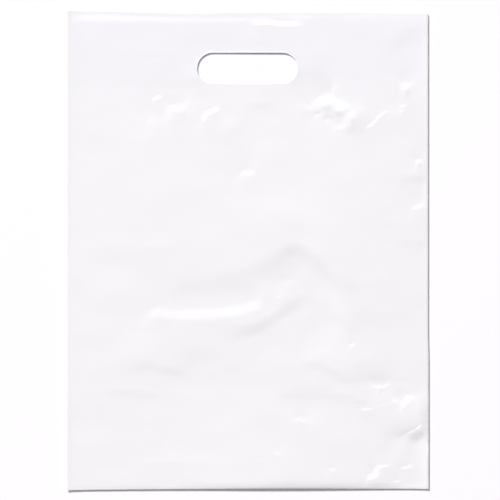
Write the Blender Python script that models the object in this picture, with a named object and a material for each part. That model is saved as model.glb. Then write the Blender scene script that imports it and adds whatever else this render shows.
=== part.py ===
"""White polyethylene carrier bag with a punched hand slot, lying flat on its back.

One length of film is folded at the bottom, turned over inwards at the mouth and welded along both sides.
The origin is on the surface that the bag lies on, +X across the bag, +Y towards the mouth, +Z up.
"""

import math
from typing import NamedTuple

import bmesh
import bpy
import numpy as np
from mathutils import Matrix

MM = 0.001

# Cut size of the bag
BAG_WIDTH = 305.9 * MM
BAG_HEIGHT = 406.2 * MM
MOUTH_SKEW = 2.2 * MM  # the mouth is cut slightly askew: its right corner is lower by this than its left
MOUTH_DIP = 1.4 * MM  # and it sags by this left of the middle
MOUTH_DIP_PLACE = -57 * MM
MOUTH_DIP_REACH = 52 * MM
BOTTOM_SKEW = 1.0 * MM  # the right end of the bottom fold lies higher by this
BOTTOM_BOW = 0.65 * MM  # the bottom fold is drawn up by this between its corners

# Film, hem and side welds
FILM = 0.06 * MM
HEM_DEPTH = 62 * MM
HEM_LAYERS = 2
HEM_STEP = 0.3 * MM  # length over which the hem's second layer begins
WELD_WIDTH = 2.0 * MM
WELD_BEAD = 0.30 * MM  # thickness of the melted edge
LEAST_GAP = 0.10 * MM  # air left between the panels where they lie closest

# Hand slot, a stadium with full round ends
SLOT_WIDTH = 85 * MM
SLOT_DEPTH = 26.5 * MM
SLOT_BELOW_MOUTH = 34 * MM
SLOT_SEGMENTS = 48

# How the bag lies: its edges stand clear of the table and a little air keeps the panels apart
LEFT_LIFT = 2.0 * MM
RIGHT_LIFT = 1.45 * MM
FOLD_LIFT_CORNER = 1.15 * MM
FOLD_LIFT_MIDDLE = 1.0 * MM  # on top of that at the highest place
FOLD_LIFT_PLACE = 30 * MM
FOLD_LIFT_REACH = 75 * MM
MOUTH_LIFT = 0.5 * MM
EDGE_RUN = 24 * MM  # the back panel lifts off the table over this distance from an edge
AIR_AT_MOUTH = 0.92 * MM  # the front panel above the table
AIR_AT_FOLD = 1.6 * MM
AIR_RUN = 45 * MM
CROWN = 1.3 * MM
CROWN_PLACE = 10 * MM
CROWN_REACH = 190 * MM
SPRING_REACH = 75 * MM  # the front panel climbs to the bottom fold over this distance

# The front panel rolls down to the mouth, more on the left than on the right
LIP_DROP = 0.6 * MM
LIP_START = 10 * MM
LIP_RUN = 9 * MM
LIP_LEAST_SHARE = 0.3
LIP_TURN_PLACE = 2 * MM
LIP_TURN_REACH = 10 * MM

# The front panel rolls down to the bottom fold, most to the right of the middle
FOLD_RUN = 9 * MM
FOLD_DROP_CORNER = 0.35 * MM
FOLD_DROP_MIDDLE = 0.95 * MM
FOLD_MIDDLE_PLACE = 50 * MM
FOLD_MIDDLE_REACH = 75 * MM
FOLD_NOSE = 0.8 * MM
FOLD_BROAD_SHARE = 0.35  # part of the drop that is a broad roll; the rest is close to the fold
CORNER_RUN = 8 * MM  # both rolls begin over this distance from the sides
EDGE_FADE = 5 * MM  # the buckles die out over this distance from the welds and the bottom

# Grid of the film: cells across, and cells in each stretch from the bottom to the mouth
CELLS_ACROSS = 23
BUCKLE_LOW = -116 * MM
BUCKLE_HIGH = 14 * MM
FOLD_CELLS = 5
FOLD_CROWDING = 1.6  # how much closer together the rows lie towards the fold
BELOW_CELLS = 8
BUCKLE_CELLS = 15
ABOVE_CELLS = 13
HEM_CELLS = 4
LIP_CELLS = 4
NOSE_CELLS = 4
PATH_POINTS = 24
LEVEL_MATCH = 0.001 * MM  # corners this close to a plane lie in it

FILM_COLOUR = (0.90, 0.88, 0.92, 1.0)
FILM_ROUGHNESS = 0.18


class Buckle(NamedTuple):
    """A strip of the film that stands at a slope, along a path through its middle from left to right.

    Sizes are in millimetres. On the lower side of the strip the film lies higher by the rise (deeper, when
    that is negative), and the difference dies out within the reach around it.
    """

    path: tuple
    rise: float
    width: float
    reach: float = 30


BUCKLES = (
    # the big bent buckle: its outer flank to the left and to the right
    Buckle(
        ((-72, -33), (-55, -31), (-30, -29.5), (-8, -27), (8, -21), (20, -13), (34, -5), (46, -2)),
        -0.8,
        18,
    ),
    Buckle(((43, 1), (54, -6), (63, -13.5), (72, -22.5), (87, -38)), -1.7, 13, 45),
    # its steep inner flank, which goes on at a gentler slope round the bend
    Buckle(
        ((-86, -50.5), (-76, -52), (-60, -53.7), (-45, -54), (-28, -53), (-10, -51), (14, -44)),
        1.0,
        10,
        45,
    ),
    Buckle(((8, -41), (22, -33), (34, -25), (46, -18)), 0.42, 16),
    # its back
    Buckle(
        ((-18, -73), (-8, -70.5), (4, -66), (14, -62), (24, -56), (33, -49), (43, -43), (56, -37)),
        -0.85,
        12,
    ),
    # the broad swelling above the middle
    Buckle(((-40, 45), (20, 42), (75, 28)), 0.6, 60, 60),
    # lower left
    Buckle(((-105, -103), (-88, -98), (-75, -100), (-62, -103.5), (-48, -104)), -0.3, 8),
    Buckle(((-66, -92), (-42, -89), (-16, -92)), -0.36, 18),
    # lower right
    Buckle(((46, -96), (60, -97.5), (72, -103), (82, -110), (92, -117)), -0.55, 9),
    Buckle(((97, -102), (106, -106.5), (116, -108), (132, -108), (152, -108)), -0.4, 9),
    Buckle(((114, -156), (126, -152.5), (138, -149.5), (165, -142)), -1.2, 14),
    # the arched pucker below the hem
    Buckle(((54, 118), (58, 124), (66, 127.5), (74, 127.5), (81, 123)), 1.0, 11.5),
    Buckle(((84, 106.5), (85.5, 112), (84.5, 118), (80, 125)), 0.9, 8),
    # the right edge and the upper right corner
    Buckle(((128, 57), (140, 59.5), (154, 59)), -0.33, 8),
    Buckle(((110, 160), (128, 174), (152, 192)), -0.35, 14),
)
END_FADE = 0.25  # share of its path over which a buckle begins and ends
SPREAD = 1.5  # how much wider its ends get away from it


def ease(t):
    """Smooth step from 0 to 1."""
    t = np.clip(t, 0, 1)
    return t * t * (3 - 2 * t)


def smooth_path(points):
    """Points along a smooth curve through the given ones."""
    given = np.array(points, float) * MM
    ends = np.vstack((2 * given[0] - given[1], given, 2 * given[-1] - given[-2]))
    curve = []
    for s in np.linspace(0, len(given) - 1.000001, PATH_POINTS):
        i = int(s)
        t = s - i
        a, b, c, d = ends[i : i + 4]
        curve.append(
            0.5 * (2 * b + (c - a) * t + (2 * a - 5 * b + 4 * c - d) * t**2 + (3 * b - a - 3 * c + d) * t**3)
        )
    return np.array(curve)


def nearest_on_path(x, y, curve):
    """Distance from a path, positive on its upper side, and how far the nearest place is along it.

    The path goes on straight beyond its ends.
    """
    nearest = np.full(x.shape, np.inf)
    distance = np.zeros(x.shape)
    along = np.zeros(x.shape)
    passed = 0.0
    for i in range(len(curve) - 1):
        start = curve[i]
        run = curve[i + 1] - start
        length = math.hypot(*run)
        first = -np.inf if i == 0 else 0.0
        last = np.inf if i == len(curve) - 2 else length
        dx, dy = x - start[0], y - start[1]
        forward = np.clip((dx * run[0] + dy * run[1]) / length, first, last)
        across = (run[0] * dy - run[1] * dx) / length
        gap = np.hypot(dx - forward * run[0] / length, dy - forward * run[1] / length)
        closer = gap < nearest
        nearest = np.where(closer, gap, nearest)
        distance = np.where(closer, np.copysign(gap, across), distance)
        along = np.where(closer, passed + forward, along)
        passed += length
    return distance, along, passed


def buckle_height(x, y, buckle):
    """Rise of the film at each x, y that one buckle gives."""
    half = buckle.width * MM / 2
    distance, along, length = nearest_on_path(x, y, smooth_path(buckle.path))
    away = np.maximum(np.abs(distance) - half, 0)
    inside = np.minimum(along, length - along)
    ends = ease((inside + away) / (END_FADE * length + SPREAD * away))
    share = 1 - 2 * ease((distance / half + 1) / 2)
    return buckle.rise * MM / 2 * share * ends * np.exp(-((away / (buckle.reach * MM)) ** 2))


def mouth_line(x):
    """Place of the mouth's edge at each x."""
    across = x / (BAG_WIDTH / 2)
    dip = MOUTH_DIP * np.exp(-(((x - MOUTH_DIP_PLACE) / MOUTH_DIP_REACH) ** 2))
    return BAG_HEIGHT / 2 - MOUTH_SKEW * (1 + across) / 2 - dip


def bottom_line(x):
    """Place of the bottom fold at each x."""
    across = x / (BAG_WIDTH / 2)
    return -BAG_HEIGHT / 2 + BOTTOM_SKEW * (1 + across) / 2 + BOTTOM_BOW * (1 - across**2)


def side_lift(x):
    """Height of the side edges above the table, low on the left and high on the right."""
    return LEFT_LIFT + (RIGHT_LIFT - LEFT_LIFT) * (0.5 + x / BAG_WIDTH)


def fold_lift(x):
    """Height of the bottom fold above the table."""
    from_place = (x - FOLD_LIFT_PLACE) / FOLD_LIFT_REACH
    return FOLD_LIFT_CORNER + FOLD_LIFT_MIDDLE * np.exp(-(from_place**2))


def back_height(x, y):
    """Underside of the back panel, flat on the table and lifted towards the edges."""
    side = np.clip(1 - (BAG_WIDTH / 2 - np.abs(x)) / EDGE_RUN, 0, 1) ** 2
    bottom = np.clip(1 - (y - bottom_line(x)) / EDGE_RUN, 0, 1) ** 2
    mouth = np.clip(1 - (mouth_line(x) - y) / EDGE_RUN, 0, 1) ** 2
    return side_lift(x) * side + (1 - side) * (fold_lift(x) * bottom + MOUTH_LIFT * mouth)


def lip_fall(x, to_mouth):
    """How far the front panel has rolled down towards the mouth."""
    left_share = 0.5 - 0.5 * np.tanh((x - LIP_TURN_PLACE) / LIP_TURN_REACH)
    lip_share = LIP_LEAST_SHARE + (1 - LIP_LEAST_SHARE) * left_share
    return LIP_DROP * lip_share * ease((LIP_START - to_mouth) / LIP_RUN)


def fold_drop(x):
    """How far the front panel comes down to the bottom fold at each x."""
    from_middle = (x - FOLD_MIDDLE_PLACE) / FOLD_MIDDLE_REACH
    return FOLD_DROP_CORNER + FOLD_DROP_MIDDLE * np.exp(-(from_middle**2))


def fold_fall(x, to_bottom):
    """How far the front panel has rolled down towards the bottom fold."""
    near = np.clip(1 - to_bottom / FOLD_RUN, 0, 1)
    return fold_drop(x) * (FOLD_BROAD_SHARE * near**2 + (1 - FOLD_BROAD_SHARE) * (1 - np.sqrt(1 - near**4)))


def front_height(x, y):
    """Outer face of the front panel."""
    to_side = BAG_WIDTH / 2 - np.abs(x)
    to_bottom = y - bottom_line(x)
    to_mouth = mouth_line(x) - y
    share = 1 - np.exp(-to_side / AIR_RUN)
    air = AIR_AT_MOUTH + (AIR_AT_FOLD - AIR_AT_MOUTH) * to_mouth / (to_mouth + to_bottom)
    crown = CROWN * np.cos(np.clip((y - CROWN_PLACE) / CROWN_REACH, -1, 1) * math.pi / 2) ** 2
    height = side_lift(x) * (1 - share) + WELD_BEAD + share * (air + crown)
    at_fold = side_lift(x) * (1 - share) + WELD_BEAD + share * AIR_AT_FOLD
    spring = fold_lift(x) + 2 * FILM + LEAST_GAP + fold_drop(x) - at_fold
    corner = ease(to_side / CORNER_RUN)
    height = height + corner * spring * np.exp(-((to_bottom / SPRING_REACH) ** 2))
    height = height - corner * (lip_fall(x, to_mouth) + fold_fall(x, to_bottom))
    buckles = sum(buckle_height(x, y, buckle) for buckle in BUCKLES)
    return height + buckles * ease(to_side / EDGE_FADE) * ease(to_bottom / EDGE_FADE)


def layers(x, y):
    """Layers of film in one panel: one, and more in the turned-over hem."""
    into_hem = (y - mouth_line(x) + HEM_DEPTH) / HEM_STEP
    return 1 + (HEM_LAYERS - 1) * np.clip(into_hem, 0, 1)


def column_places():
    """Places across the bag: both edges, both inner sides of the welds, and even cells between."""
    inner = BAG_WIDTH / 2 - WELD_WIDTH
    return np.concatenate(([-BAG_WIDTH / 2], np.linspace(-inner, inner, CELLS_ACROSS + 1), [BAG_WIDTH / 2]))


def row_shares():
    """Heights of the rows on the middle line, as shares of the bag's height from bottom to mouth."""
    low, high = -BAG_HEIGHT / 2, BAG_HEIGHT / 2
    fold = low + FOLD_RUN * np.linspace(0, 1, FOLD_CELLS + 1) ** FOLD_CROWDING
    hem = high - HEM_DEPTH
    lip = high - LIP_START
    buckle_low = np.clip(BUCKLE_LOW, fold[-1], hem)
    buckle_high = np.clip(BUCKLE_HIGH, buckle_low, hem)
    stretches = (
        fold[:-1],
        np.linspace(fold[-1], buckle_low, BELOW_CELLS, endpoint=False),
        np.linspace(buckle_low, buckle_high, BUCKLE_CELLS, endpoint=False),
        np.linspace(buckle_high, hem, ABOVE_CELLS, endpoint=False),
        np.linspace(hem, hem + HEM_STEP, 2),
        np.linspace(hem + HEM_STEP, lip, HEM_CELLS, endpoint=False)[1:],
        np.linspace(lip, high, LIP_CELLS + 1),
    )
    rows = np.concatenate(stretches)
    return (rows - low) / (high - low)


def skin_rows(mesh, columns, shares, inside):
    """Rows of one skin of the film's vertices: back panel from the mouth down, the fold, front panel up."""
    x, share = np.meshgrid(columns, shares)
    y = bottom_line(x) + share * (mouth_line(x) - bottom_line(x))
    inset = FILM * layers(x, y) if inside else np.zeros(x.shape)
    back = back_height(x, y)
    front = np.maximum(front_height(x, y), back + 2 * FILM * layers(x, y) + LEAST_GAP)
    back = back + inset
    front = front - inset

    def vertices(row_x, row_y, row_z):
        return [mesh.verts.new(place) for place in zip(row_x, row_y, row_z)]

    back_rows = [vertices(x[j], y[j], back[j]) for j in reversed(range(len(shares)))]
    front_rows = [vertices(x[j], y[j], front[j]) for j in range(len(shares))]
    middle = (front[0] + back[0]) / 2
    radius = (front[0] - back[0]) / 2
    nose = np.minimum(radius + inset[0], FOLD_NOSE) - inset[0]
    nose_rows = []
    for step in range(1, NOSE_CELLS):
        angle = math.pi * step / NOSE_CELLS
        nose_rows.append(vertices(x[0], y[0] - nose * math.sin(angle), middle - radius * math.cos(angle)))
    return back_rows, nose_rows, front_rows


def strip(mesh, first, second):
    """Quads between two rows of vertices."""
    for i in range(len(first) - 1):
        mesh.faces.new((first[i], first[i + 1], second[i + 1], second[i]))


def close_sides(mesh, back_rows, nose_rows, front_rows):
    """Join the ends of the back rows to the ends of the front rows, along both sides."""
    for end in (0, -1):
        back = [row[end] for row in reversed(back_rows)]
        front = [row[end] for row in front_rows]
        strip(mesh, back, front)
        mesh.faces.new([back[0]] + [row[end] for row in nose_rows] + [front[0]])


def skin(mesh, columns, shares, inside):
    """One skin of the film, open at the mouth, with its two lips."""
    back_rows, nose_rows, front_rows = skin_rows(mesh, columns, shares, inside)
    rows = back_rows + nose_rows + front_rows
    for first, second in zip(rows, rows[1:]):
        strip(mesh, first, second)
    close_sides(mesh, back_rows, nose_rows, front_rows)
    return back_rows[0], front_rows[-1]


def close_mouth_edges(mesh, outer, inner):
    """Join the outer and inner skins along both lips and across the ends of the welds."""
    (outer_back, outer_front), (inner_back, inner_front) = outer, inner
    strip(mesh, outer_back[1:-1], inner_back)
    strip(mesh, outer_front[1:-1], inner_front)
    for end, next_to_end in ((0, 1), (-1, -2)):
        mesh.faces.new((outer_back[end], outer_back[next_to_end], inner_back[end]))
        mesh.faces.new((outer_back[end], inner_back[end], inner_front[end], outer_front[end]))
        mesh.faces.new((outer_front[end], inner_front[end], outer_front[next_to_end]))


def merge_flat_faces(mesh):
    """Merge the back panel's faces that lie in one plane: underside, inside and the hem's inside."""

    def lies_at(face, level):
        return all(abs(vert.co.z - level) < LEVEL_MATCH for vert in face.verts)

    for level in (0, FILM, HEM_LAYERS * FILM):
        flat = [face for face in mesh.faces if lies_at(face, level)]
        bmesh.ops.dissolve_faces(mesh, faces=flat, use_verts=True)


def bag_mesh():
    """The closed solid of the film, before the slot is punched."""
    mesh = bmesh.new()
    columns = column_places()
    shares = row_shares()
    outer = skin(mesh, columns, shares, inside=False)
    inner = skin(mesh, columns[1:-1], shares, inside=True)
    close_mouth_edges(mesh, outer, inner)
    bmesh.ops.triangulate(mesh, faces=mesh.faces, quad_method="FIXED")
    bmesh.ops.recalc_face_normals(mesh, faces=mesh.faces)
    merge_flat_faces(mesh)
    data = bpy.data.meshes.new("carrier_bag")
    mesh.to_mesh(data)
    mesh.free()
    return data


def slot_punch():
    """The punch of the hand slot: a circle pulled apart into a stadium, and extruded."""
    mesh = bmesh.new()
    radius = SLOT_DEPTH / 2
    circle = bmesh.ops.create_circle(mesh, cap_ends=True, segments=SLOT_SEGMENTS, radius=radius)
    half_step = Matrix.Rotation(math.pi / SLOT_SEGMENTS, 3, "Z")
    bmesh.ops.rotate(mesh, verts=circle["verts"], matrix=half_step)
    straight = SLOT_WIDTH / 2 - radius
    for vert in mesh.verts:
        vert.co.x += math.copysign(straight, vert.co.x)
    height = LEFT_LIFT + WELD_BEAD + AIR_AT_MOUTH + CROWN
    extruded = bmesh.ops.extrude_face_region(mesh, geom=list(mesh.faces))
    top = [item for item in extruded["geom"] if isinstance(item, bmesh.types.BMVert)]
    bmesh.ops.translate(mesh, verts=mesh.verts, vec=(0, 0, -height))
    bmesh.ops.translate(mesh, verts=top, vec=(0, 0, 3 * height))
    bmesh.ops.recalc_face_normals(mesh, faces=mesh.faces)
    data = bpy.data.meshes.new("slot_punch")
    mesh.to_mesh(data)
    mesh.free()
    punch = bpy.data.objects.new("slot_punch", data)
    punch.location.y = mouth_line(0) - SLOT_BELOW_MOUTH - radius
    punch.hide_render = True
    punch.display_type = "WIRE"
    bpy.context.collection.objects.link(punch)
    return punch


def film_material():
    """Glossy white film."""
    material = bpy.data.materials.new("white_polyethylene_film")
    material.use_nodes = True
    shader = material.node_tree.nodes["Principled BSDF"]
    shader.inputs["Base Color"].default_value = FILM_COLOUR
    shader.inputs["Roughness"].default_value = FILM_ROUGHNESS
    shader.inputs["Metallic"].default_value = 0.0
    return material


def carrier_bag():
    """The bag, with its hand slot punched through both panels."""
    data = bag_mesh()
    data.shade_smooth()
    data.set_sharp_from_angle(angle=math.radians(40))
    data.materials.append(film_material())
    bag = bpy.data.objects.new("carrier_bag", data)
    bpy.context.collection.objects.link(bag)
    cut = bag.modifiers.new("hand_slot", "BOOLEAN")
    cut.operation = "DIFFERENCE"
    cut.solver = "EXACT"
    cut.object = slot_punch()
    return bag


for old in list(bpy.data.objects):
    bpy.data.objects.remove(old, do_unlink=True)
carrier_bag()
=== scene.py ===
"""Looks of the white polyethylene carrier bag, lying flat on its back on a white table."""

import math
from typing import NamedTuple

import bmesh
import bpy
import numpy as np
from mathutils import Matrix, Vector


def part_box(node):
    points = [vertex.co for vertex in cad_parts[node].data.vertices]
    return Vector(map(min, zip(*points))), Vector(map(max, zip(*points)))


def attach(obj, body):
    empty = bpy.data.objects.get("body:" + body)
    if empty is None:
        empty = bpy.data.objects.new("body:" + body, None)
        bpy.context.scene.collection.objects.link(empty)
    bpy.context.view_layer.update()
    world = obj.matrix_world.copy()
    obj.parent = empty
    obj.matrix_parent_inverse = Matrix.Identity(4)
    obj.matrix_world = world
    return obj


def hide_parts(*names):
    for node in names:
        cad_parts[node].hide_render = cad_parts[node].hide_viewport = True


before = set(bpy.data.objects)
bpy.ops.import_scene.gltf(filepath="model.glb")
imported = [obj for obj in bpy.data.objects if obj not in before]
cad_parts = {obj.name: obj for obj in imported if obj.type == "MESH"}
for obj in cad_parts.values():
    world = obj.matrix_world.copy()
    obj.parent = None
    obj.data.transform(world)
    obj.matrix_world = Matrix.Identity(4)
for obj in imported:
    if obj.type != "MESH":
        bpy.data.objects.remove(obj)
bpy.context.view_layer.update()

MM = 0.001

# Cut size of the bag, from the frame
bag_low, bag_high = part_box("carrier_bag")
WIDTH = bag_high.x - bag_low.x
MOUTH_LEFT = bag_high.y
FOLD_PAST = 0.1 * MM  # the rounded fold reaches this far past its line at its left end
FOLD_LEFT = bag_low.y + FOLD_PAST
MOUTH_SKEW = 2.2 * MM  # the mouth's right corner is lower by this than its left
MOUTH_DIP = 1.4 * MM  # and it sags by this left of the middle
MOUTH_DIP_PLACE = -57 * MM
MOUTH_DIP_REACH = 52 * MM
FOLD_SKEW = 1.0 * MM  # the right end of the bottom fold is higher by this
FOLD_BOW = 0.65 * MM  # the bottom fold is drawn up by this between its corners
TOUCH = 0.01 * MM  # corners this close to a line lie on it

# Film, hem and welds
FILM = 0.06 * MM
HEM_DEPTH = 62 * MM
PLY_PITCH = 0.15 * MM  # from the outer face of the panel to the inward face of the turned-over film
WELD_CURL = 0.16 * MM  # the welded edges stand up a little
WELD_WIDTH = 2.0 * MM
WELD_BEAD = 0.30 * MM  # thickness of the melted edge
WELD_ROUND = 0.12 * MM  # its rounded side stands out by this
LEAST_GAP = 0.10 * MM  # air left between the panels where they lie closest
SEAM_PLAY = 0.1 * MM  # room for rounding where the turned-over film ends at the welds
HEM_PLAY = 0.2 * MM  # and where it ends at the depth of the hem

# Hand slot
SLOT_WIDTH = 85 * MM
SLOT_DEPTH = 26.5 * MM
SLOT_BELOW_MOUTH = 34 * MM
SLOT_SEGMENTS = 128
SLOT_CURL = 0.2 * MM  # the upper edge of the slot in the front panel curls up by this
SLOT_CURL_RUN = 2.2 * MM
SLOT_CURL_MOST = 1.3  # the curl goes on over the film that is punched out, up to this share of its run

# How the bag lies: flat on its back, its side edges and its bottom fold standing off the table
LEFT_LIFT = 2.0 * MM
RIGHT_LIFT = 1.5 * MM
RIGHT_FLARE = 0.5 * MM  # the right edge leans out by this towards the bottom
RIGHT_FLARE_START = -68 * MM
RIGHT_FLARE_RUN = 25 * MM
RIGHT_FLARE_GATHER = 3  # the higher, the closer to the edge the film is drawn out
FOLD_LIFT_CORNER = 1.15 * MM
FOLD_LIFT_LEFT = 0.4 * MM  # on top of that at the left corner
FOLD_LIFT_MIDDLE = 1.0 * MM  # on top of that at the highest place
FOLD_LIFT_PLACE = 30 * MM
FOLD_LIFT_REACH = 75 * MM
MOUTH_LIFT = 0.5 * MM
EDGE_RUN = 24 * MM  # the back panel lifts off the table over this distance from an edge
AIR_AT_MOUTH = 0.92 * MM  # the front panel above the table
AIR_AT_FOLD = 1.6 * MM
AIR_RUN = 45 * MM
CROWN = 1.3 * MM
CROWN_PLACE = 10 * MM
CROWN_REACH = 190 * MM
SPRING_REACH = 75 * MM  # the front panel climbs to the bottom fold over this distance

# The roll of the front panel down to the mouth
LIP_START = 13.5 * MM  # at the left edge; from there it goes down to the least start
LIP_DRIFT = 0.047
LIP_LEAST_START = 8.7 * MM
LIP_RUN = 12.5 * MM
LIP_NARROWING = 0.072  # the roll gets narrower towards the right
LIP_LEAST_RUN = 4.8 * MM
LIP_SLOPE = 0.064
LIP_SKEW = 1.5  # the roll is steepest nearer to the mouth
LIP_RIGHT_START = 7 * MM  # right of its turn the lip only bends down a little
LIP_RIGHT_RUN = 6.6 * MM
LIP_RIGHT_DROP = 0.2 * MM
LIP_TURN_PLACE = 2 * MM
LIP_TURN_REACH = 10 * MM

# The roll of the front panel down to the bottom fold
FOLD_RUN = 9 * MM
FOLD_DROP_CORNER = 0.35 * MM
FOLD_DROP_MIDDLE = 0.95 * MM
FOLD_MIDDLE_PLACE = 35 * MM
FOLD_MIDDLE_REACH = 66 * MM
FOLD_NOSE = 0.8 * MM  # the rounded fold stands out by this at most
FOLD_BROAD_SHARE = 0.35  # part of the drop that is a broad roll; the rest is close to the fold
CORNER_RUN = 8 * MM  # both rolls begin over this distance from the sides
EDGE_FADE = 5 * MM  # the buckles die out over this distance from the welds and the bottom

# Faint slack of the film
SLACK_SEED = 5
SLACK_WAVES = 40
SLACK_LENGTHS = (16 * MM, 50 * MM)
SLACK_TURN = 0.5  # spread of their directions, in radians
SLACK_SLOPE = math.tan(math.radians(0.55))
HEM_SLACK_SHARE = 0.3  # the doubled film of the hem is stiffer and keeps this much of it

# Mesh of the film
CELL = 3.8 * MM
FINEST_CELL = 0.7 * MM
SLOT_CELL = 0.8 * MM  # cells along the slot's edge
STRIP_CELL = 0.22  # share of a buckle's width
SPLIT_FROM = 0.8  # a cell is split where cells under this share of its size are wanted
LIP_ROWS = 12
FOLD_ROWS = 9
FOLD_CROWDING = 1.4  # how much closer together the rows lie towards the fold
ROUND_CUTS = 5  # across the rounded fold and welds
PATH_POINTS = 24
SHARP_ANGLE = math.radians(40)  # only cut edges are sharper than this


class Buckle(NamedTuple):
    """A strip of the film that stands at a slope, along a path through its middle from left to right.

    Sizes are in millimetres. On the lower side of the strip the film lies higher by the rise (deeper, when
    that is negative), and the difference dies out within the reach around it. The fade is the share of the
    path over which the strip begins and ends.
    """

    path: tuple
    rise: float
    width: float
    fade: float = 0.35
    reach: float = 30


SOFT_BUCKLES = (
    # the big bent buckle: its dark outer flank, left and right, its light inner flank and its dark back
    Buckle(
        ((-72, -33), (-55, -31), (-30, -29.5), (-8, -27), (8, -19.5), (20, -10.5), (34, 0), (47, 3)),
        -0.62,
        19,
        0.15,
    ),
    Buckle(((24, -7), (35, -0.5), (44, 1), (53, -2.5), (62, -11)), -0.75, 12, 0.4),
    Buckle(((40, 5), (52, -4), (62, -13), (72, -23.5), (90, -43)), -1.9, 15, 0.36, 38),
    Buckle(((20, -38), (28, -32), (37, -25), (47, -18)), 0.35, 12),
    Buckle(((42, -24), (48, -19.5), (54, -15)), 0.2, 8),
    Buckle(((-6, -36), (8, -31.5), (20, -25)), -0.3, 12),
    Buckle(
        ((-20, -74), (-8, -70.5), (4, -67), (14, -62.5), (24, -56.5), (34, -50), (44, -44), (60, -37)),
        -0.75,
        12,
        0.25,
    ),
    Buckle(((50, -38), (65, -42), (78, -54), (88, -70)), -0.7, 34, reach=45),
    Buckle(((84, -38), (104, -24), (124, -8)), 0.6, 36),
    Buckle(((68, -50), (78, -60), (90, -72)), -0.4, 9),
    # above the middle
    Buckle(((-40, 45), (20, 42), (75, 28)), 0.6, 60, reach=60),
    # lower left
    Buckle(((-104, -100), (-86, -98.5), (-74, -100.5), (-62, -103.5), (-44, -104.5)), -0.5, 9),
    Buckle(((-66, -92), (-42, -88), (-14, -90)), -0.6, 18),
    Buckle(((-24, -99), (-10, -99), (2, -101)), -0.25, 10),
    Buckle(((-126, -121), (-100, -121), (-70, -124)), -0.5, 10),
    Buckle(((-146, -78), (-132, -81), (-118, -89)), -0.1, 5),
    Buckle(((-145, -177.5), (-60, -177), (50, -177.5)), 0.05, 4, 0.2),
    # lower right
    Buckle(((14, -128), (38, -123), (60, -121), (80, -125), (104, -131)), -0.4, 13, 0.25),
    Buckle(((42, -96), (60, -97.5), (72, -103), (82, -110), (92, -117)), -0.6, 9, 0.25),
    Buckle(((97, -102), (106, -106.5), (116, -108), (132, -109), (160, -109)), -0.28, 9, 0.15),
    Buckle(((96, -102), (104, -105.5), (114, -108)), -0.1, 6),
    Buckle(((88, -127.5), (95, -128.5), (103, -129)), -0.2, 5),
    Buckle(((122, -116), (136, -117), (152, -116)), -0.2, 7),
    Buckle(((52, -81), (66, -82.5), (82, -84)), 0.2, 12),
    Buckle(((113, -117), (120, -118), (128, -119)), 0.2, 8),
    Buckle(((44, -145), (56, -147), (70, -146)), 0.2, 10),
    Buckle(((108, -157), (124, -154), (138, -152), (165, -149)), -0.75, 15, 0.25),
    Buckle(((122, -157), (131, -155), (139, -152), (147, -147.5)), -0.3, 5, 0.3),
    Buckle(((132, -160.5), (146, -157.5), (170, -154)), -1.4, 11, 0.25),
    Buckle(((133, -143), (144, -135), (158, -124)), 0.55, 15),
    Buckle(((50, -178), (80, -179), (106, -180.5), (132, -182)), 0.32, 15),
    Buckle(((100, -165), (113, -167), (124, -166)), -0.16, 8),
    # along the right edge, and the upper right corner
    Buckle(((126, 58), (140, 60.5), (165, 60)), -0.5, 9, 0.25),
    Buckle(((106, 36), (118, 35.5), (130, 33)), -0.1, 6),
    Buckle(((112, 24), (122, 21.5), (132, 17)), -0.1, 6),
    Buckle(((124, 7), (138, 6), (165, 4)), -0.3, 8, 0.25),
    Buckle(((112, 163), (129, 177), (152, 195)), -0.5, 14),
    # along the left edge and left of the middle
    Buckle(((-96, 40), (-84, 34), (-68, 22)), -0.25, 12),
    Buckle(((-112, 22), (-100, 18), (-90, 12)), -0.15, 10),
    Buckle(((-90, 3), (-76, 0), (-60, -5)), -0.2, 11),
    Buckle(((-146, 76), (-132, 70), (-116, 60)), -0.1, 6),
    # beside the slot and below it
    Buckle(((-62, 181), (-30, 182), (4, 181)), -0.3, 22),
    Buckle(((40, 152), (48, 150), (58, 144)), -0.35, 12),
    Buckle(((-52, 148), (-45, 144), (-38, 142)), -0.25, 8),
    Buckle(((-10, 176), (8, 176), (24, 176)), -0.08, 6),
    Buckle(((-8, 122), (8, 121.5), (24, 121)), -0.45, 11),
    Buckle(((-74, 137), (-62, 138), (-50, 136)), 0.3, 14),
    Buckle(((-50, 125), (-40, 125.5), (-28, 127)), 0.22, 7),
    Buckle(((-88, 111), (-78, 110.5), (-69, 106)), 0.5, 10),
    Buckle(((-25, 108), (-16, 108), (-6, 107)), 0.4, 11),
    Buckle(((14, 109), (22, 109), (30, 109)), 0.2, 8),
    Buckle(((-22, 134), (-14, 134), (-6, 134)), 0.2, 8),
    Buckle(((72, 107), (72.5, 114), (73, 122)), 0.9, 13, 0.25, 14),
)

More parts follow.
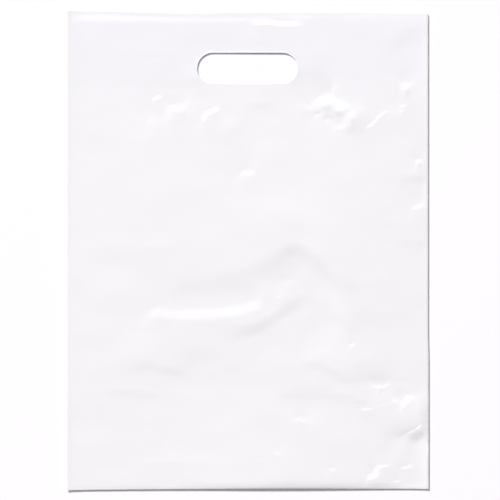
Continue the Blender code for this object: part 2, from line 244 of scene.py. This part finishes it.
CRISP_BUCKLES = (
    # the bright flank of the big buckle
    Buckle(
        ((-86, -50.5), (-76, -52), (-60, -53.7), (-45, -54), (-28, -53), (-10, -51), (3, -47.5), (14, -44)),
        1.0,
        9.8,
        0.07,
        45,
    ),
    Buckle(((22.5, -40), (26, -39), (30, -37)), 0.25, 3.5, 0.35, 10),
    # a row of puckers below the hem
    Buckle(((-82, 127.5), (-77, 129.5), (-72.5, 131)), 0.42, 3.2, 0.25, 12),
    Buckle(((-69, 120.5), (-60, 121), (-52, 120)), 0.85, 7, 0.2, 18),
    Buckle(((-41, 112.5), (-36.5, 114), (-31, 118.5), (-22, 121)), 0.62, 5, 0.25, 14),
    Buckle(((-39, 110.5), (-37, 111.5), (-34.5, 113)), 0.35, 4, 0.3, 10),
    # the arched one: its cap, the bend from it to its right leg, that leg and its left foot
    Buckle(((54.5, 117.5), (58.5, 123.5), (64, 127.6), (70, 130), (76, 131)), 1.3, 11, 0.15, 18),
    Buckle(((71.5, 119.5), (77, 124.2), (82, 129)), 1.15, 12, 0.25, 12),
    Buckle(((80.5, 100), (83.5, 110), (84, 120)), 1.9, 10, 0.4, 14),
    Buckle(((57, 115), (61.5, 115), (66, 116)), 0.6, 4.5, 0.3, 12),
    Buckle(((100, 102.5), (107, 108.8), (113, 115), (119.5, 120)), 0.3, 2.6, 0.15, 12),
    Buckle(((128.5, 137.5), (134, 139.5), (139.5, 137.5)), 1.15, 8, 0.35, 14),
    Buckle(((128.5, 122.5), (131, 122.8), (134.5, 121.5)), 0.36, 2.6, 0.35, 8),
    Buckle(((130, 119.3), (131.5, 119), (133, 119)), 0.28, 2, 0.35, 8),
    Buckle(((149, 134), (149.3, 139), (149, 145)), 0.4, 2.4, 0.35, 8),
    # above the middle and along the right edge
    Buckle(((-8, 66.3), (0.5, 66), (8.5, 66.8)), 0.66, 5, 0.3, 15),
    Buckle(((141, 75), (144.5, 75.5), (148, 75)), 0.5, 4, 0.35, 12),
    Buckle(((138, 35.7), (144.5, 37.3), (151, 39.3)), 0.6, 4, 0.25, 12),
    # lower right
    Buckle(((85, -80), (88.5, -79.8), (92, -79)), 0.46, 2.8, 0.35, 10),
    Buckle(((108.8, -117), (112, -114.8), (115.2, -117)), 0.7, 4.5, 0.2, 10),
    Buckle(((128, -131.5), (131.5, -129.5), (135, -126.5), (138.5, -121.5)), 0.85, 6.5, 0.2, 14),
    Buckle(((95, -133.8), (100, -134.2), (106, -133.5)), 0.28, 2.3, 0.3, 8),
    Buckle(((102, -133.5), (108, -132.5), (118, -129.5), (130, -127.5)), 0.05, 1.6, 0.25, 8),
    Buckle(((119, -127.5), (123.5, -127), (128, -127)), 0.12, 1.8, 0.35, 6),
    Buckle(((40, -141), (45, -143), (51, -146.5)), 0.55, 3.5, 0.35, 12),
    Buckle(((131, -156), (138, -153.5), (144, -149.8), (150, -145)), 0.3, 2, 0.35, 5),
    # near the bottom fold
    Buckle(((21, -171.5), (25, -171.3), (29.5, -171.5)), 0.25, 3, 0.35, 10),
    Buckle(((68, -185.3), (73, -185.3), (77, -185.5)), 0.25, 3.4, 0.35, 12),
    Buckle(((99.5, -192.8), (104.5, -191.3), (108.3, -187.5), (110.8, -180.5)), 0.8, 6.3, 0.15, 16),
    Buckle(((104, -192.5), (108, -191), (111.5, -187)), 0.45, 4, 0.35, 12),
    Buckle(((114, -181.3), (116.5, -182.2), (119, -182.4)), 0.24, 2, 0.35, 8),
    Buckle(((128.5, -184), (134, -183.5), (140, -181.5)), 0.33, 2.6, 0.2, 10),
    Buckle(((122, -195.8), (126, -195.7), (130, -195.3)), 0.3, 2, 0.35, 6),
    # just below the mouth
    Buckle(((-2, 194.8), (18, 193.5), (34, 192.5), (52, 193.5)), 0.62, 6, 0.25, 20),
)

SPREAD = 1.5  # how much wider the ends of a buckle get away from it
FARTHEST = 2.2  # reaches from a buckle at which nothing is left of it
CRISP_ROUNDING = 0.22  # share of a crisp strip that is rounded on each side
PATHS_FROM = np.array((0, -0.4 * MM))  # the place that the paths are measured from
LAST_STRETCH = 1 - 1e-6  # keeps the last point of a path within its last stretch


def ease(t):
    """Smooth step from 0 to 1."""
    t = np.clip(t, 0, 1)
    return t * t * (3 - 2 * t)


def smooth_path(points):
    """Points along a smooth curve through the given ones."""
    given = np.array(points, float) * MM + PATHS_FROM
    ends = np.vstack((2 * given[0] - given[1], given, 2 * given[-1] - given[-2]))
    curve = []
    for passed in np.linspace(0, len(given) - 2 + LAST_STRETCH, PATH_POINTS):
        i = int(passed)
        t = passed - i
        a, b, c, d = ends[i : i + 4]
        curve.append(
            0.5 * (2 * b + (c - a) * t + (2 * a - 5 * b + 4 * c - d) * t**2 + (3 * b - a - 3 * c + d) * t**3)
        )
    return np.array(curve)


def crisp_ramp(t):
    """A nearly straight climb from 0 to 1, rounded at both ends."""
    t = np.clip(t, 0, 1)
    start = t**2 / (2 * CRISP_ROUNDING)
    end = 1 - CRISP_ROUNDING - (1 - t) ** 2 / (2 * CRISP_ROUNDING)
    straight = np.where(t < 1 - CRISP_ROUNDING, t - CRISP_ROUNDING / 2, end)
    return np.where(t < CRISP_ROUNDING, start, straight) / (1 - CRISP_ROUNDING)


def nearest_on_path(x, y, curve):
    """Distance from a path, positive on its upper side, and how far the nearest place is along it.

    The path goes on straight beyond its ends.
    """
    nearest = np.full(x.shape, np.inf)
    distance = np.zeros(x.shape)
    along = np.zeros(x.shape)
    passed = 0.0
    for i in range(len(curve) - 1):
        start = curve[i]
        run = curve[i + 1] - start
        length = math.hypot(*run)
        first = -np.inf if i == 0 else 0.0
        last = np.inf if i == len(curve) - 2 else length
        dx, dy = x - start[0], y - start[1]
        forward = np.clip((dx * run[0] + dy * run[1]) / length, first, last)
        across = (run[0] * dy - run[1] * dx) / length
        gap = np.hypot(dx - forward * run[0] / length, dy - forward * run[1] / length)
        closer = gap < nearest
        nearest = np.where(closer, gap, nearest)
        distance = np.where(closer, np.copysign(gap, across), distance)
        along = np.where(closer, passed + forward, along)
        passed += length
    return distance, along, passed


def near_buckle(x, y, curve, reach):
    """The points that lie within reach of a path."""
    low, high = curve.min(axis=0) - reach, curve.max(axis=0) + reach
    return (x > low[0]) & (x < high[0]) & (y > low[1]) & (y < high[1])


def buckle_height(x, y, buckle, climb):
    """Rise of the film at each x, y that one buckle gives."""
    curve = smooth_path(buckle.path)
    reach = buckle.reach * MM
    half = buckle.width * MM / 2
    near = near_buckle(x, y, curve, FARTHEST * reach + half)
    distance, along, length = nearest_on_path(x[near], y[near], curve)
    away = np.maximum(np.abs(distance) - half, 0)
    inside = np.minimum(along, length - along)
    ends = ease((inside + away) / (buckle.fade * length + SPREAD * away))
    share = 1 - 2 * climb((distance / half + 1) / 2)
    rise = np.zeros(x.shape)
    rise[near] = buckle.rise * MM / 2 * share * ends * np.exp(-((away / reach) ** 2))
    return rise


def mouth_line(x):
    """Place of the mouth's edge at each x."""
    across = x / (WIDTH / 2)
    dip = MOUTH_DIP * np.exp(-(((x - MOUTH_DIP_PLACE) / MOUTH_DIP_REACH) ** 2))
    return MOUTH_LEFT - MOUTH_SKEW * (1 + across) / 2 - dip


def fold_line(x):
    """Place of the bottom fold at each x."""
    across = x / (WIDTH / 2)
    return FOLD_LEFT + FOLD_SKEW * (1 + across) / 2 + FOLD_BOW * (1 - across**2)


def side_lift(x):
    """Height of the side edges above the table, higher on the left than on the right."""
    return LEFT_LIFT + (RIGHT_LIFT - LEFT_LIFT) * (0.5 + x / WIDTH)


def fold_lift(x):
    """Height of the bottom fold above the table."""
    from_place = (x - FOLD_LIFT_PLACE) / FOLD_LIFT_REACH
    corner = FOLD_LIFT_CORNER + FOLD_LIFT_LEFT * (0.5 - x / WIDTH)
    return corner + FOLD_LIFT_MIDDLE * np.exp(-(from_place**2))


def back_height(x, y):
    """Underside of the back panel, flat on the table and lifted towards the edges."""
    side = np.clip(1 - (WIDTH / 2 - np.abs(x)) / EDGE_RUN, 0, 1) ** 2
    bottom = np.clip(1 - (y - fold_line(x)) / EDGE_RUN, 0, 1) ** 2
    mouth = np.clip(1 - (mouth_line(x) - y) / EDGE_RUN, 0, 1) ** 2
    middle = 1 - side
    return side_lift(x) * side + middle * (fold_lift(x) * bottom + MOUTH_LIFT * mouth)


def lip_fall(x, to_mouth):
    """How far the front panel has rolled down towards the mouth."""
    left_share = 0.5 - 0.5 * np.tanh((x - LIP_TURN_PLACE) / LIP_TURN_REACH)
    from_left = x + WIDTH / 2
    start = np.maximum(LIP_START - LIP_DRIFT * from_left, LIP_LEAST_START)
    run = np.maximum(LIP_RUN - LIP_NARROWING * from_left, LIP_LEAST_RUN)
    left = LIP_SLOPE * run * ease(np.clip((start - to_mouth) / run, 0, 1) ** LIP_SKEW)
    right = LIP_RIGHT_DROP * ease((LIP_RIGHT_START - to_mouth) / LIP_RIGHT_RUN)
    return left * left_share + right * (1 - left_share)


def fold_drop(x):
    """How far the front panel comes down to the bottom fold at each x."""
    from_middle = (x - FOLD_MIDDLE_PLACE) / FOLD_MIDDLE_REACH
    return FOLD_DROP_CORNER + FOLD_DROP_MIDDLE * np.exp(-(from_middle**2))


def fold_fall(x, to_fold):
    """How far the front panel has rolled down towards the bottom fold."""
    near = np.clip(1 - to_fold / FOLD_RUN, 0, 1)
    close = 1 - np.sqrt(1 - near**4)
    return fold_drop(x) * (FOLD_BROAD_SHARE * near**2 + (1 - FOLD_BROAD_SHARE) * close)


def outside_slot(x, y):
    """Distance outside the slot's outline, negative within it."""
    radius = SLOT_DEPTH / 2
    along = np.clip(x, radius - SLOT_WIDTH / 2, SLOT_WIDTH / 2 - radius)
    return np.hypot(x - along, y - slot_middle()) - radius


def slot_middle():
    """Place of the slot's long axis."""
    return mouth_line(0.0) - SLOT_BELOW_MOUTH - SLOT_DEPTH / 2


def slot_curl(x, y):
    """The upper cut edge of the slot stands up a little."""
    upper = ease(0.5 + (y - slot_middle()) / SLOT_DEPTH)
    near = np.clip(1 - outside_slot(x, y) / SLOT_CURL_RUN, 0, SLOT_CURL_MOST)
    return SLOT_CURL * upper * near**2


def waves(x, y):
    """Faint slack of the film all over: many long shallow waves, most of them lying across the bag."""
    draw = np.random.default_rng(SLACK_SEED)
    height = np.zeros(x.shape)
    for _ in range(SLACK_WAVES):
        length = draw.uniform(*SLACK_LENGTHS)
        turn = draw.normal(0, SLACK_TURN)
        shift = draw.uniform(0, 2 * math.pi)
        phase = 2 * math.pi * (y * math.cos(turn) + x * math.sin(turn)) / length + shift
        height += length / (2 * math.pi) * np.sin(phase)
    return SLACK_SLOPE * math.sqrt(2 / SLACK_WAVES) * height


def front_height(x, y):
    """Outer face of the front panel."""
    to_side = WIDTH / 2 - np.abs(x)
    to_fold = y - fold_line(x)
    to_mouth = mouth_line(x) - y
    share = 1 - np.exp(-to_side / AIR_RUN)
    air = AIR_AT_MOUTH + (AIR_AT_FOLD - AIR_AT_MOUTH) * to_mouth / (to_mouth + to_fold)
    crown = CROWN * np.cos(np.clip((y - CROWN_PLACE) / CROWN_REACH, -1, 1) * math.pi / 2) ** 2
    height = side_lift(x) * (1 - share) + WELD_BEAD + share * (air + crown)
    at_fold = side_lift(x) * (1 - share) + WELD_BEAD + share * AIR_AT_FOLD
    spring = fold_lift(x) + 2 * FILM + LEAST_GAP + fold_drop(x) - at_fold
    corner = ease(to_side / CORNER_RUN)
    height = height + corner * spring * np.exp(-((to_fold / SPRING_REACH) ** 2))
    height = height - corner * (lip_fall(x, to_mouth) + fold_fall(x, to_fold))
    height = height + slot_curl(x, y) + WELD_CURL * np.clip(1 - to_side / WELD_WIDTH, 0, 1)
    folds = sum(buckle_height(x, y, buckle, ease) for buckle in SOFT_BUCKLES)
    folds = folds + sum(buckle_height(x, y, buckle, crisp_ramp) for buckle in CRISP_BUCKLES)
    below_hem = ease((to_mouth - HEM_DEPTH) / HEM_DEPTH)
    slack = waves(x, y) * (HEM_SLACK_SHARE + (1 - HEM_SLACK_SHARE) * below_hem)
    return height + (folds + slack) * ease(to_side / EDGE_FADE) * ease(to_fold / EDGE_FADE)


def column_places():
    """Places across the bag: both edges, the inner sides of both welds, and even cells between."""
    inner = WIDTH / 2 - WELD_WIDTH
    cells = round(2 * inner / CELL)
    return np.concatenate(([-WIDTH / 2], np.linspace(-inner, inner, cells + 1), [WIDTH / 2]))


def row_shares():
    """Rows from the bottom fold to the mouth, as shares of the way between them."""
    low, high = float(fold_line(0.0)), float(mouth_line(0.0))
    fold = low + FOLD_RUN * np.linspace(0, 1, FOLD_ROWS + 1) ** FOLD_CROWDING
    hem = high - HEM_DEPTH
    lip = high - LIP_START
    body = np.linspace(fold[-1], hem, round((hem - fold[-1]) / CELL) + 1)
    upper = np.linspace(hem, lip, round((lip - hem) / CELL) + 1)
    rows = np.concatenate((fold, body[1:], upper[1:], np.linspace(lip, high, LIP_ROWS + 1)[1:]))
    return (rows - low) / (high - low)


def flat_panel(mesh, columns, shares):
    """The front panel as a flat grid at height 1."""
    bmesh.ops.create_grid(mesh, x_segments=len(columns) - 1, y_segments=len(shares) - 1, size=0.5)
    for vert in mesh.verts:
        x = columns[round((vert.co.x + 0.5) * (len(columns) - 1))]
        share = shares[round((vert.co.y + 0.5) * (len(shares) - 1))]
        vert.co = (x, fold_line(x) + share * (mouth_line(x) - fold_line(x)), 1)


def on_mouth(vert):
    """Whether a corner lies on the mouth's edge."""
    return abs(vert.co.y - mouth_line(vert.co.x)) < TOUCH


def verts_of(items):
    """The corners among the items that an operator gives back."""
    return [item for item in items if isinstance(item, bmesh.types.BMVert)]


def join_panels(mesh):
    """A copy of the front panel becomes the back one at height -1, and a round strip joins them.

    The strip runs along the sides and the bottom, and leaves the mouth open.
    """
    back = bmesh.ops.duplicate(mesh, geom=list(mesh.faces))["geom"]
    bmesh.ops.translate(mesh, verts=verts_of(back), vec=(0, 0, -2))
    rim = [edge for edge in mesh.edges if edge.is_boundary and not all(on_mouth(vert) for vert in edge.verts)]
    bmesh.ops.bridge_loops(mesh, edges=rim)
    across = [edge for edge in mesh.edges if abs(edge.verts[0].co.z - edge.verts[1].co.z) > 1]
    bmesh.ops.subdivide_edges(mesh, edges=across, cuts=ROUND_CUTS, use_grid_fill=True)


def wanted_cell(x, y):
    """Size of the cells that the buckles and the slot's edge need at each x, y."""
    cell = np.where(np.abs(outside_slot(x, y)) < SLOT_CURL_RUN + CELL / 2, SLOT_CELL, CELL)
    for buckle in CRISP_BUCKLES + SOFT_BUCKLES:
        curve = smooth_path(buckle.path)
        width = buckle.width * MM
        near = near_buckle(x, y, curve, width)
        distance, along, length = nearest_on_path(x[near], y[near], curve)
        beside = np.abs(distance) < width / 2 + CELL / 2
        between_ends = np.abs(along - length / 2) < length / 2 + CELL / 2
        cell[near] = np.where(beside & between_ends, np.minimum(cell[near], width * STRIP_CELL), cell[near])
    return np.maximum(cell, FINEST_CELL)


def refine(mesh):
    """Split the front panel's cells where its folds are small, but not those at the welds and the mouth."""
    widest = WIDTH / 2 - WELD_WIDTH - SEAM_PLAY

    def inside(face):
        return all(abs(vert.co.x) < widest and not vert.is_boundary for vert in face.verts)

    size = CELL
    while size > FINEST_CELL:
        faces = [face for face in mesh.faces if all(vert.co.z == 1 for vert in face.verts)]
        centres = np.array([face.calc_center_median()[:2] for face in faces])
        wanted = wanted_cell(centres[:, 0], centres[:, 1])
        chosen = [face for face, cell in zip(faces, wanted) if cell < size * SPLIT_FROM and inside(face)]
        edges = {edge for face in chosen for edge in face.edges}
        bmesh.ops.subdivide_edges(mesh, edges=list(edges), cuts=1, use_grid_fill=True, use_single_edge=True)
        size /= 2


def turn_over_mouth(mesh, ply):
    """Turn both panels over inwards at the mouth: a copy of each top stretch, joined to it at the lip."""

    def in_hem(vert):
        depth = mouth_line(vert.co.x) - vert.co.y
        return abs(vert.co.x) < WIDTH / 2 - WELD_WIDTH + SEAM_PLAY and depth < HEM_DEPTH + HEM_PLAY

    for level in (1, -1):
        panel = [
            face for face in mesh.faces if all(vert.co.z == level and vert[ply] == 0 for vert in face.verts)
        ]
        top =[face for face in panel if all(in_hem(vert) for vert in face.verts)]
        lip = [edge for face in top for edge in face.edges if all(on_mouth(vert) for vert in edge.verts)]
        copied = bmesh.ops.duplicate(mesh, geom=top)
        for vert in verts_of(copied["geom"]):
            vert[ply] = 1
        turned = [item for item in copied["geom"] if isinstance(item, bmesh.types.BMFace)]
        bmesh.ops.reverse_faces(mesh, faces=turned)
        turned_lip = [copied["edge_map"][edge] for edge in lip]
        bmesh.ops.bridge_loops(mesh, edges=lip + turned_lip)


def lay_out(mesh, ply):
    """Move every corner of the flat panels to its place on the bag.

    Their height, from 1 in front to -1 behind, is their place around the rounded strip.
    """
    corners = list(mesh.verts)
    x, y, level = np.array([vert.co for vert in corners]).T
    turned = np.array([vert[ply] for vert in corners])
    back = back_height(x, y)
    front = np.maximum(front_height(x, y), back + 2 * FILM + LEAST_GAP)
    angle = level * math.pi / 2
    height = (front + back) / 2 + (front - back) / 2 * np.sin(angle) - turned * level * PLY_PITCH
    along_fold = np.abs(y - fold_line(x)) < TOUCH
    nose = np.minimum((front - back) / 2, FOLD_NOSE) * np.cos(angle)
    round_strip = np.abs(level) < 1
    y = np.where(round_strip & along_fold, y - nose, y)
    x = np.where(round_strip & ~along_fold, x + np.sign(x) * WELD_ROUND * np.cos(angle), x)
    below = ease((RIGHT_FLARE_START - y) / RIGHT_FLARE_RUN)
    x = x + RIGHT_FLARE * below * ease(2 * x / WIDTH) ** RIGHT_FLARE_GATHER
    for vert, place in zip(corners, zip(x, y, height)):
        vert.co = place


def slot_punch():
    """The punch of the hand slot: a circle pulled apart into a stadium, and extruded through the bag."""
    mesh = bmesh.new()
    radius = SLOT_DEPTH / 2
    circle = bmesh.ops.create_circle(mesh, cap_ends=True, segments=SLOT_SEGMENTS, radius=radius)
    bmesh.ops.rotate(mesh, verts=circle["verts"], matrix=Matrix.Rotation(math.pi / SLOT_SEGMENTS, 3, "Z"))
    for vert in mesh.verts:
        vert.co.x += math.copysign(SLOT_WIDTH / 2 - radius, vert.co.x)
    height = bag_high.z
    extruded = bmesh.ops.extrude_face_region(mesh, geom=list(mesh.faces))
    bmesh.ops.translate(mesh, verts=mesh.verts, vec=(0, slot_middle(), -height))
    bmesh.ops.translate(mesh, verts=verts_of(extruded["geom"]), vec=(0, 0, 3 * height))
    bmesh.ops.recalc_face_normals(mesh, faces=mesh.faces)
    return new_object("slot_punch", mesh)


def new_object(name, mesh):
    """An object at the origin with that bmesh as its mesh."""
    data = bpy.data.meshes.new(name)
    mesh.to_mesh(data)
    mesh.free()
    made = bpy.data.objects.new(name, data)
    bpy.context.scene.collection.objects.link(made)
    return made


def bag_film():
    """The whole film: folded at the bottom, turned over at the mouth, given its thickness and punched."""
    mesh = bmesh.new()
    flat_panel(mesh, column_places(), row_shares())
    join_panels(mesh)
    refine(mesh)
    ply = mesh.verts.layers.int.new("ply")
    turn_over_mouth(mesh, ply)
    lay_out(mesh, ply)
    bmesh.ops.recalc_face_normals(mesh, faces=mesh.faces)
    bag = new_object("bag_film", mesh)
    thickness = bag.modifiers.new("film", "SOLIDIFY")
    thickness.thickness = FILM
    thickness.offset = -1
    punch = slot_punch()
    slot = bag.modifiers.new("hand_slot", "BOOLEAN")
    slot.operation = "DIFFERENCE"
    slot.solver = "EXACT"
    slot.object = punch
    finished = bpy.data.meshes.new_from_object(bag.evaluated_get(bpy.context.evaluated_depsgraph_get()))
    bag.modifiers.clear()
    bag.data = finished
    bpy.data.objects.remove(punch)
    finished.shade_smooth()
    finished.set_sharp_from_angle(angle=SHARP_ANGLE)
    return bag


def linear(hex_colour):
    """An sRGB hex colour as linear RGBA."""
    channels = [int(hex_colour[i : i + 2], 16) / 255 for i in (0, 2, 4)]
    return [c / 12.92 if c <= 0.04045 else ((c + 0.055) / 1.055) ** 2.4 for c in channels] + [1.0]


def add_node(tree, kind, settings=None, **inputs):
    """A node with its settings, and its inputs set or linked. An input's name has _ for each space."""
    node = tree.nodes.new(kind)
    for name, value in (settings or {}).items():
        setattr(node, name, value)
    for name, value in inputs.items():
        socket = node.inputs[name.replace("_", " ")]
        if isinstance(value, bpy.types.NodeSocket):
            tree.links.new(value, socket)
        else:
            socket.default_value = value
    return node


def stretched_noise(tree, place, across, along, detail):
    """Noise from 0 to 1 whose spots are that large across the bag and along it, in millimetres."""
    scale = add_node(tree, "ShaderNodeVectorMath", {"operation": "MULTIPLY"})
    tree.links.new(place, scale.inputs[0])
    scale.inputs[1].default_value = (1 / (across * MM), 1 / (along * MM), 1 / (across * MM))
    noise = add_node(tree, "ShaderNodeTexNoise", Vector=scale.outputs["Vector"], Scale=1.0, Detail=detail)
    return noise.outputs["Fac"]


def smooth_share(tree, value, start, end):
    """0 up to start and 1 from end on, with a smooth step between."""
    smooth = {"interpolation_type": "SMOOTHSTEP"}
    share = add_node(tree, "ShaderNodeMapRange", smooth, Value=value, From_Min=start, From_Max=end)
    return share.outputs["Result"]


# Places of the colour sockets among the Mix node's many sockets called A, B and Result
MIX_A, MIX_B, MIX_RESULT = 6, 7, 2


def mixed(tree, share, first, second):
    """Two colours mixed by a share of the second."""
    mix = add_node(tree, "ShaderNodeMix", {"data_type": "RGBA"}, Factor=share)
    for socket, colour in ((mix.inputs[MIX_A], first), (mix.inputs[MIX_B], second)):
        if isinstance(colour, bpy.types.NodeSocket):
            tree.links.new(colour, socket)
        else:
            socket.default_value = colour
    return mix.outputs[MIX_RESULT]


# Whites of the film, each from its thinner to its fuller clouds
FILM_WHITES = ("FCFAFD", "FDFBFE")
HEM_WHITES = ("FBF9FE", "FCFAFF")
# Painted shade along the side welds: a little darker than the film
WELD_SHADE_WHITE = "FAF8FC"

# Texture of the film: sizes across the bag and along it, in millimetres
CLOUD_SIZE = (60, 30)
CLOUD_RANGE = (0.3, 0.7)  # the noise between which a cloud begins and is full
GAUGE_LINES = (220, 9)
MOTTLE_SIZE = (30, 15)
MOTTLE_SHARE = 0.85
FILM_RELIEF = 0.3 * MM
HEM_SHOWS = (-6 * MM, 2 * MM)  # the hem's colour comes in around its edge over this stretch
# the painted shade of the welds comes in over this stretch
WELD_SHADE_SHOWS = 0.6 * MM
FILM_ROUGHNESS = 0.1
FILM_IOR = 1.51


def film_material():
    """Blown low-density polyethylene, white with titanium dioxide."""
    material = bpy.data.materials.new("white_blown_polyethylene")
    material.use_nodes = True
    tree = material.node_tree
    shader = tree.nodes["Principled BSDF"]
    place = add_node(tree, "ShaderNodeTexCoord").outputs["Object"]
    axes = add_node(tree, "ShaderNodeSeparateXYZ", Vector=place)

    # The white is faintly violet, and cloudy over 30 to 60 mm where the white masterbatch mixed unevenly;
    # the doubled film of the hem is less see-through and bluer
    clouds = smooth_share(tree, stretched_noise(tree, place, *CLOUD_SIZE, detail=3), *CLOUD_RANGE)
    single = mixed(tree, clouds, *map(linear, FILM_WHITES))
    doubled = mixed(tree, clouds, *map(linear, HEM_WHITES))
    hem_edge = MOUTH_LEFT - HEM_DEPTH
    in_hem = smooth_share(tree, axes.outputs["Y"], hem_edge + HEM_SHOWS[0], hem_edge + HEM_SHOWS[1])
    film = mixed(tree, in_hem, single, doubled)

    # The side welds are melted film; their strip of 2 mm is painted a little darker, partly the welded film's
    # own tone and partly painted shade along the edges
    from_middle = add_node(tree, "ShaderNodeMath", {"operation": "ABSOLUTE"})
    tree.links.new(axes.outputs["X"], from_middle.inputs[0])
    weld_shade_start = WIDTH / 2 - WELD_WIDTH
    in_weld_shade = smooth_share(tree, from_middle.outputs["Value"], weld_shade_start, weld_shade_start + WELD_SHADE_SHOWS)
    tree.links.new(mixed(tree, in_weld_shade, film, linear(WELD_SHADE_WHITE)), shader.inputs["Base Color"])

    # Gauge lines of the die run across the bag, 9 mm apart; between them the film is lightly mottled, with
    # spots of 30 x 15 mm. Together they break the gloss up into faint streaks
    gauge = stretched_noise(tree, place, *GAUGE_LINES, detail=1)
    mottle = stretched_noise(tree, place, *MOTTLE_SIZE, detail=3)
    relief = add_node(tree, "ShaderNodeMix", {"data_type": "FLOAT"}, Factor=MOTTLE_SHARE, A=gauge, B=mottle)
    height = relief.outputs["Result"]
    bump = add_node(tree, "ShaderNodeBump", Height=height, Strength=1.0, Distance=FILM_RELIEF)
    tree.links.new(bump.outputs["Normal"], shader.inputs["Normal"])

    # Low-density film is glossy: a clear sheen at a slant, soft-edged
    shader.inputs["Roughness"].default_value = FILM_ROUGHNESS
    shader.inputs["IOR"].default_value = FILM_IOR
    return material


TABLE_HALF = 30.0
TABLE_BELOW = 0.02 * MM  # the bag's underside stays clear of the table top by this
FLOOR_WHITENING = 0.038  # what the eye sees above the table's own white, so that only real shadows show
WHITE_RANGE = (0.5, 1.2)  # metres from the bag's middle: the table begins to turn white, and is white
TABLE_WHITE = "FEFCFF"
TABLE_ROUGHNESS = 0.9


def floor():
    """A plain white table top. Far from the bag it turns into the white of the background."""
    mesh = bmesh.new()
    bmesh.ops.create_grid(mesh, x_segments=1, y_segments=1, size=TABLE_HALF)
    bmesh.ops.translate(mesh, verts=mesh.verts, vec=(0, 0, -TABLE_BELOW))
    table = new_object("table_top", mesh)
    material = bpy.data.materials.new("matt_white_laminate")
    material.use_nodes = True
    tree = material.node_tree
    shader = tree.nodes["Principled BSDF"]
    shader.inputs["Base Color"].default_value = linear(TABLE_WHITE)
    shader.inputs["Roughness"].default_value = TABLE_ROUGHNESS
    shader.inputs["Specular IOR Level"].default_value = 0.0
    place = add_node(tree, "ShaderNodeTexCoord").outputs["Object"]
    distance = add_node(tree, "ShaderNodeVectorMath", {"operation": "LENGTH"})
    tree.links.new(place, distance.inputs[0])
    far = smooth_share(tree, distance.outputs["Value"], *WHITE_RANGE)
    far.node.inputs["To Min"].default_value = FLOOR_WHITENING
    seen = add_node(tree, "ShaderNodeLightPath").outputs["Is Camera Ray"]
    share = add_node(tree, "ShaderNodeMath", {"operation": "MULTIPLY"})
    tree.links.new(far, share.inputs[0])
    tree.links.new(seen, share.inputs[1])
    white = add_node(tree, "ShaderNodeEmission", Strength=share.outputs["Value"])
    both = add_node(tree, "ShaderNodeAddShader")
    tree.links.new(shader.outputs["BSDF"], both.inputs[0])
    tree.links.new(white.outputs["Emission"], both.inputs[1])
    tree.links.new(both.outputs["Shader"], tree.nodes["Material Output"].inputs["Surface"])
    table.data.materials.append(material)


class Lamp(NamedTuple):
    """A lamp, by its share of the light on the table and the angles at which it stands, in degrees."""

    name: str
    share: float
    from_vertical: float
    to_left: float
    half_width: float
    half_height: float


# A small lamp draws the thin shadows, a wide softbox draws the highlights, and the rest comes from all round
LAMPS = (
    Lamp("key_lamp", 0.655, 50, 33, 5, 5),
    Lamp("wide_softbox", 0.185, 27, 15, 34, 10),
)
FILL = 0.185  # strength of the white room all round
LAMP_DISTANCE = 25.0


def add_lamp(lamp):
    """A rectangular lamp, far enough away to light the whole bag evenly."""
    tilt, turn = math.radians(lamp.from_vertical), math.radians(lamp.to_left)
    direction = Vector((-math.sin(turn) * math.sin(tilt), math.cos(turn) * math.sin(tilt), math.cos(tilt)))
    half_width, half_height = math.radians(lamp.half_width), math.radians(lamp.half_height)
    light = bpy.data.lights.new(lamp.name, "AREA")
    light.shape = "RECTANGLE"
    light.size = 2 * LAMP_DISTANCE * math.tan(half_width)
    light.size_y = 2 * LAMP_DISTANCE * math.tan(half_height)
    light.energy = lamp.share * math.pi**2 * LAMP_DISTANCE**2 / math.cos(tilt)
    made = bpy.data.objects.new(lamp.name, light)
    made.location = direction * LAMP_DISTANCE
    made.rotation_euler = direction.to_track_quat("Z", "Y").to_euler()
    bpy.context.scene.collection.objects.link(made)


def surroundings():
    """An even white room, seen as plain white."""
    world = bpy.data.worlds.new("white_room")
    bpy.context.scene.world = world
    world.use_nodes = True
    tree = world.node_tree
    background = tree.nodes["Background"]
    background.inputs["Color"].default_value = (1, 1, 1, 1)
    seen = add_node(tree, "ShaderNodeLightPath").outputs["Is Camera Ray"]
    strength = add_node(tree, "ShaderNodeMapRange", Value=seen, To_Min=FILL, To_Max=1.0)
    tree.links.new(strength.outputs["Result"], background.inputs["Strength"])


# Camera: straight above the bag, framing what the photograph frames
PIXELS = 500
PIXEL = 0.848 * MM  # size of a pixel on the bag
BAG_MIDDLE_PIXEL = (247.4, 250.37)  # where the photograph has the bag's middle
CAMERA_HEIGHT = 2.4
SENSOR = 36  # millimetres
FARTHEST_SEEN = 100.0


def camera():
    """Looks straight down, with the mouth at the top of the picture."""
    lens = bpy.data.cameras.new("overhead")
    lens.sensor_width = SENSOR
    lens.lens = SENSOR * CAMERA_HEIGHT / (PIXELS * PIXEL)
    lens.clip_end = FARTHEST_SEEN
    made = bpy.data.objects.new("overhead", lens)
    made.location = (
        (PIXELS / 2 - BAG_MIDDLE_PIXEL[0]) * PIXEL,
        (BAG_MIDDLE_PIXEL[1] - PIXELS / 2) * PIXEL,
        CAMERA_HEIGHT,
    )
    bpy.context.scene.collection.objects.link(made)
    bpy.context.scene.camera = made


bpy.context.scene.view_settings.view_transform = "Standard"
bag = bag_film()
bag.data.materials.clear()
bag.data.materials.append(film_material())
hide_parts("carrier_bag")
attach(bag, "root")
floor()
for lamp in LAMPS:
    add_lamp(lamp)
surroundings()
camera()
